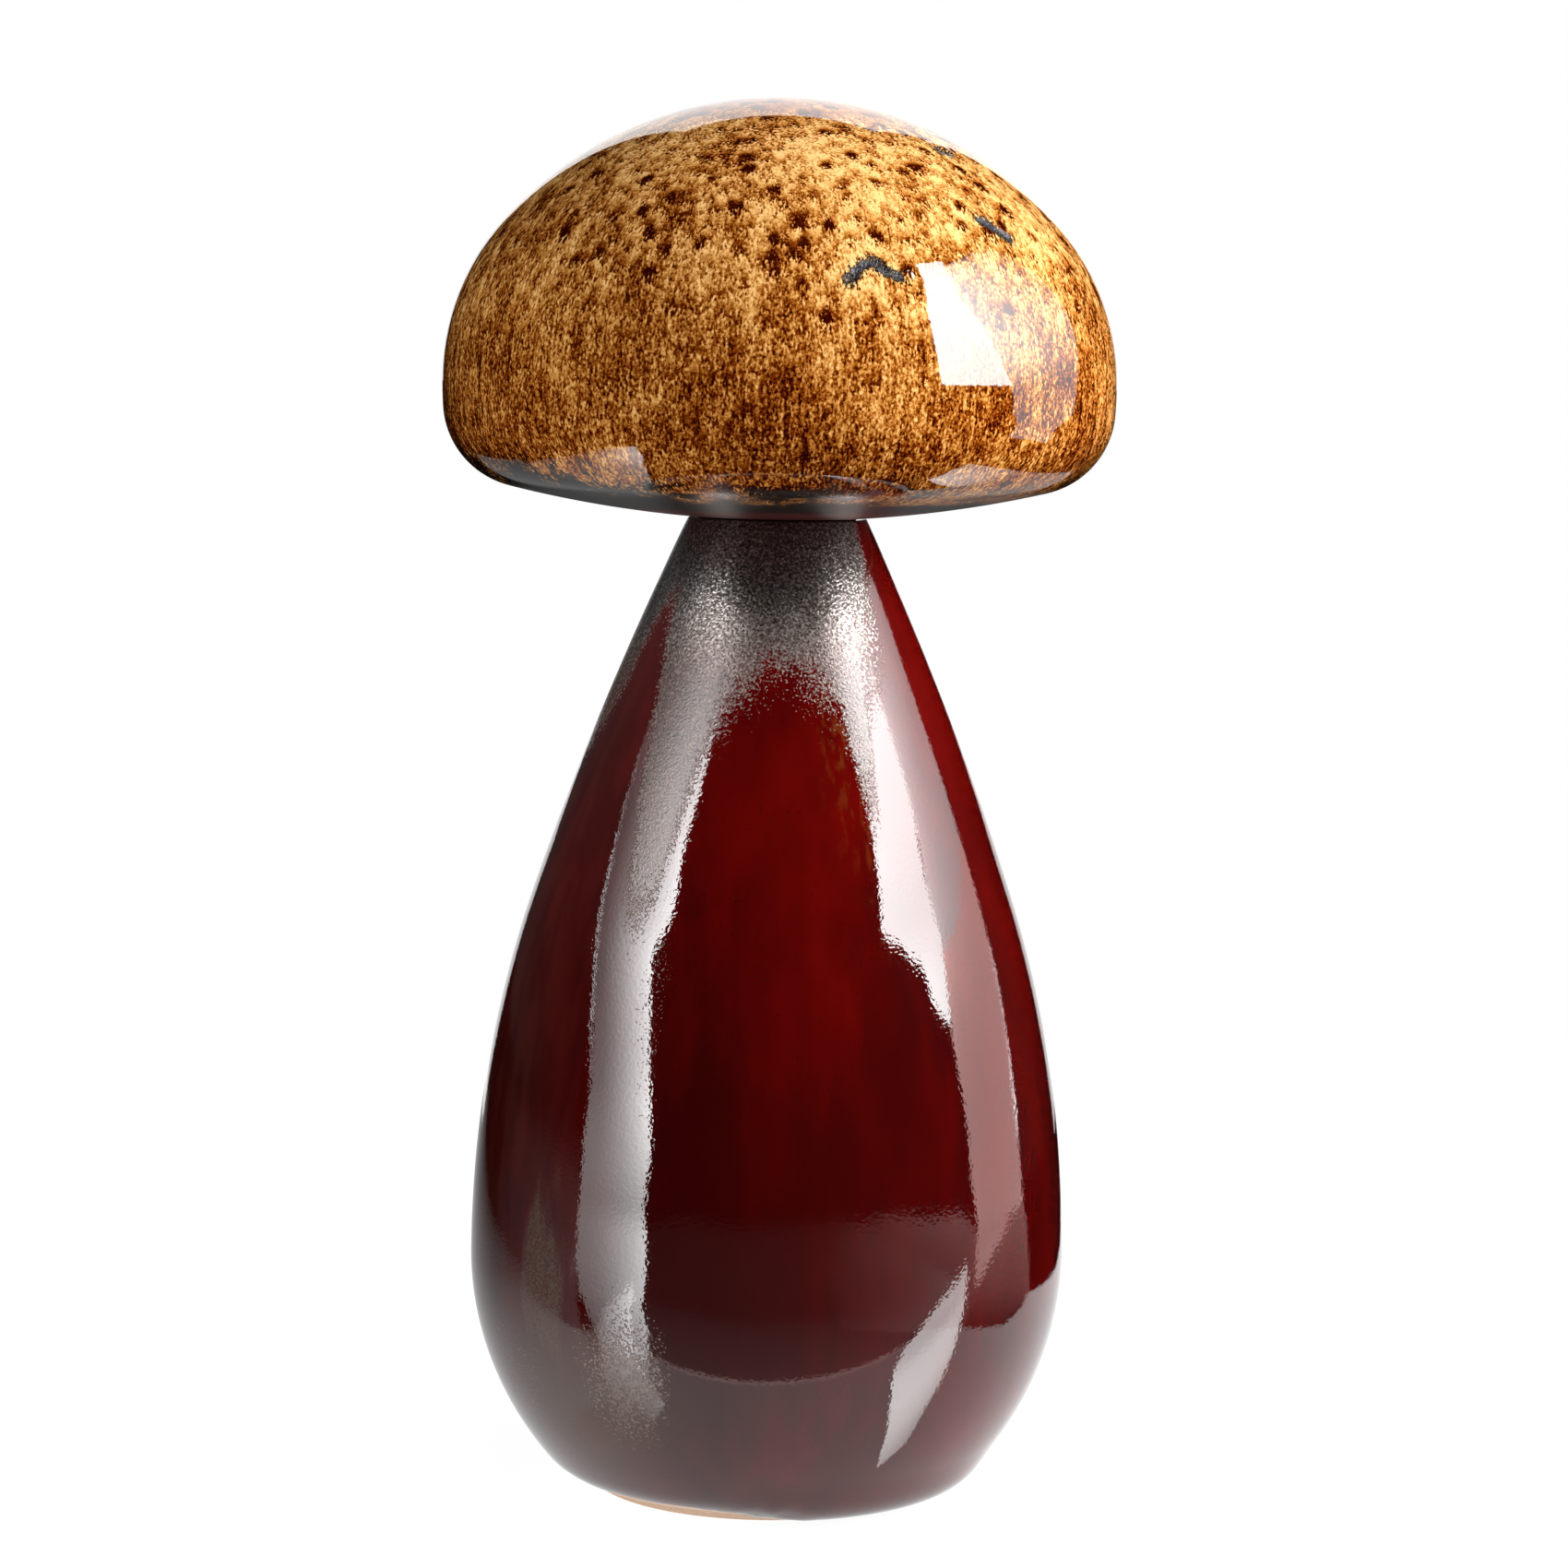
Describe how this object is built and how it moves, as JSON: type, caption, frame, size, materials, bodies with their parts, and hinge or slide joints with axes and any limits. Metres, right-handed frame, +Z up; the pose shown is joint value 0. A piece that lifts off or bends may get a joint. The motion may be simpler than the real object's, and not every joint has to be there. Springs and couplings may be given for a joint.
{
  "type": "ceramic mushroom ornament",
  "caption": "Free-standing mushroom in glazed stoneware: a hollow pear-shaped stem on a bare foot ring carries a hollow domed cap, which rests on a soft ring over a spigot, turns and lifts off.",
  "frame": {"origin": "middle of the foot ring, on the surface that the ornament stands on", "axes": "+Z up along the axis that the stem and the cap share; the front of the picture looks along +Y"},
  "size_m": [0.154, 0.154, 0.32],
  "materials": {
    "stem_glaze": "glossy oxblood red glaze that breaks to speckled metallic grey at the neck, bare buff clay on the foot ring",
    "ring_silicone": "matt translucent silicone",
    "cap_glaze": "glossy amber reactive glaze with brown craters and streaks, darker at the rim"
  },
  "bodies": {
    "stem": {"stem": "stem_glaze"},
    "seat_ring": {"seat_ring": "ring_silicone"},
    "cap": {"cap": "cap_glaze"}
  },
  "joints": [
    {"name": "cap_turn", "type": "hinge", "parent": "stem", "child": "seat_ring", "pos_m": [0, 0, 0.223], "axis": [0, 0, 1], "continuous": true},
    {"name": "cap_lift", "type": "slide", "parent": "seat_ring", "child": "cap", "axis": [0, 0, 1], "range_m": [0, 0.04]}
  ]
}
